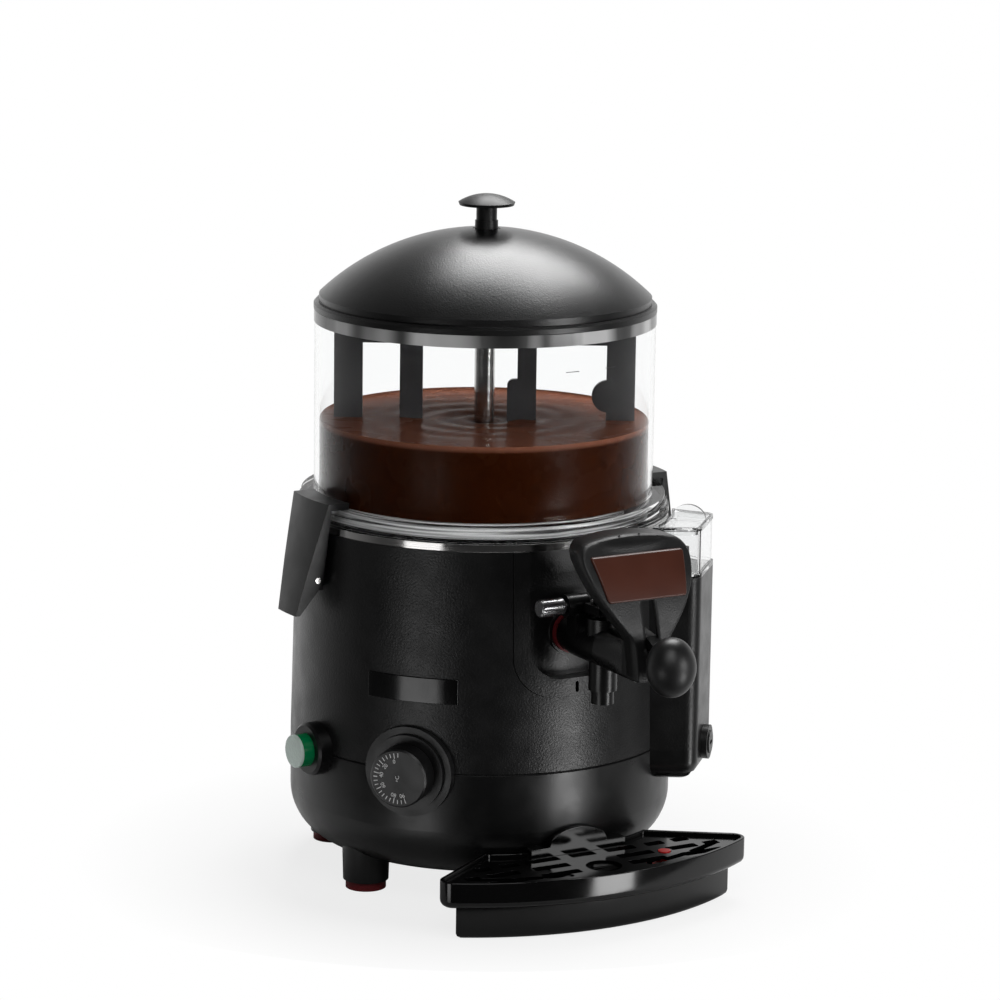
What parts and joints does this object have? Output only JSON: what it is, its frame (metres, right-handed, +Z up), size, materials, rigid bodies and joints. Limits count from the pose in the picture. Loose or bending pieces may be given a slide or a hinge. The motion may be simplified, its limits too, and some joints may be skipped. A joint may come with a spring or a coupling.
{
  "type": "hot chocolate dispenser",
  "caption": "Countertop drink dispenser: black round body with dial and lit switch, clear stirred bowl with domed lid, lever tap under a hood, side water tank and drip tray.",
  "frame": {"origin": "on the table under the middle of the machine and its drip tray", "axes": "+Z up, the tap points to -Y, +X is to the right of a person who faces the tap"},
  "size_m": [0.3003, 0.4052, 0.4644],
  "materials": {
    "shell": "fine grained satin black",
    "base": "smooth satin black",
    "lid": "satin grained black",
    "tray": "gloss black",
    "trim": "satin black",
    "plate": "gloss black, bare",
    "hood": "grained dark grey black",
    "label": "gloss brown, bare",
    "tap": "satin black",
    "steel": "polished",
    "pot": "brushed",
    "motor": "plain",
    "heater": "cast",
    "rubber_red": "dull red",
    "rubber_dark": "dull",
    "clear": "clear, gloss",
    "stir": "satin dark",
    "green": "gloss green",
    "lens": "clear whitish",
    "red": "gloss red",
    "knob": "satin black with pale dial marks"
  },
  "bodies": {
    "machine": {"base_shell": "base", "feet": "rubber_red", "bottom_cover": "motor", "bottom_screws": "steel", "upper_shell": "shell", "tap_bezel": "shell", "nameplate": "plate", "top_ring": "steel", "bath_pot": "pot", "inner_pot": "pot", "outlet_pipe": "pot", "bowl_gasket": "rubber_dark", "heater_ring": "heater", "motor_bracket": "motor", "gear_motor": "motor", "motor_screws": "steel", "shaft_column": "steel", "bowl": "clear", "clip_brackets": "trim", "clip_pins": "steel", "dial_collar": "trim", "thermostat_body": "motor", "thermostat_bulb": "steel", "switch_collar": "trim", "switch_body": "trim", "water_tank": "clear", "fill_tube": "trim", "drain_socket": "trim", "cable_gland": "trim", "tap_seal": "rubber_red", "tap_body": "tap", "tap_cap": "tap", "tap_pin": "tap", "tap_hood": "hood", "hood_label": "label", "tray_guide": "trim"},
    "lid": {"lid": "lid", "lid_knob": "lid", "knob_screw": "steel"},
    "stirrer": {"stirrer": "stir", "drive_shaft": "steel"},
    "tap_lever": {"tap_lever": "tap", "lever_ball": "tap"},
    "tap_piston": {"tap_piston": "tap", "cross_pin": "steel", "tap_spring": "steel"},
    "thermostat_knob": {"thermostat_knob": "knob", "knob_spindle": "steel"},
    "power_button": {"power_button": "green", "button_lens": "lens"},
    "clip_left": {"clip_left": "trim"},
    "clip_right": {"clip_right": "trim"},
    "tank_lid": {"tank_lid": "clear"},
    "drain_plug": {"drain_plug": "trim"},
    "drip_tray": {"drip_tray": "tray"},
    "drip_grille": {"drip_grille": "tray"},
    "tray_float": {"tray_float": "red"}
  },
  "joints": [
    {"name": "lid_lift", "type": "slide", "parent": "machine", "child": "lid", "axis": [0, 0, 1], "range_m": [0, 0.11]},
    {"name": "stirrer_spin", "type": "hinge", "parent": "machine", "child": "stirrer", "pos_m": [0, 0.0596, 0.2], "axis": [0, 0, 1], "continuous": true},
    {"name": "tap_lever_lift", "type": "hinge", "parent": "machine", "child": "tap_lever", "pos_m": [0, -0.0854, 0.212], "axis": [-1, 0, 0], "range_deg": [0, 14], "stiffness_Nm_per_rad": 0.3, "springref_deg": -22.92},
    {"name": "piston_lift", "type": "slide", "parent": "machine", "child": "tap_piston", "axis": [0, 0, 1], "range_m": [0, 0.0048], "deforming": ["tap_spring"]},
    {"name": "thermostat_turn", "type": "hinge", "parent": "machine", "child": "thermostat_knob", "pos_m": [-0.10725, -0.03039, 0.0955], "axis": [0.766, 0.6428, 0], "range_deg": [0, 210]},
    {"name": "power_press", "type": "slide", "parent": "machine", "child": "power_button", "axis": [0.9976, 0.0698, 0], "range_m": [0, 0.0025], "stiffness_N_per_m": 400},
    {"name": "clip_left_open", "type": "hinge", "parent": "machine", "child": "clip_left", "pos_m": [-0.1345, 0.0596, 0.214], "axis": [0, -1, 0], "range_deg": [0, 18]},
    {"name": "clip_right_open", "type": "hinge", "parent": "machine", "child": "clip_right", "pos_m": [0.1345, 0.0596, 0.214], "axis": [0, 1, 0], "range_deg": [0, 18]},
    {"name": "tank_lid_lift", "type": "slide", "parent": "machine", "child": "tank_lid", "axis": [0, 0, 1], "range_m": [0, 0.05]},
    {"name": "drain_plug_turn", "type": "hinge", "parent": "machine", "child": "drain_plug", "pos_m": [0.11702, -0.04952, 0.095], "axis": [0.7314, -0.682, 0], "range_deg": [0, 90]},
    {"name": "drip_tray_slide", "type": "slide", "parent": "machine", "child": "drip_tray", "axis": [0, -1, 0], "range_m": [0, 0.1]},
    {"name": "drip_grille_lift", "type": "slide", "parent": "drip_tray", "child": "drip_grille", "axis": [0, 0, 1], "range_m": [0, 0.04]},
    {"name": "tray_float_rise", "type": "slide", "parent": "drip_grille", "child": "tray_float", "axis": [0, 0, 1], "range_m": [0, 0.006]}
  ],
  "couplings": [
    {"joint": "piston_lift", "follows": "tap_lever_lift", "m_per_rad": 0.0195}
  ]
}
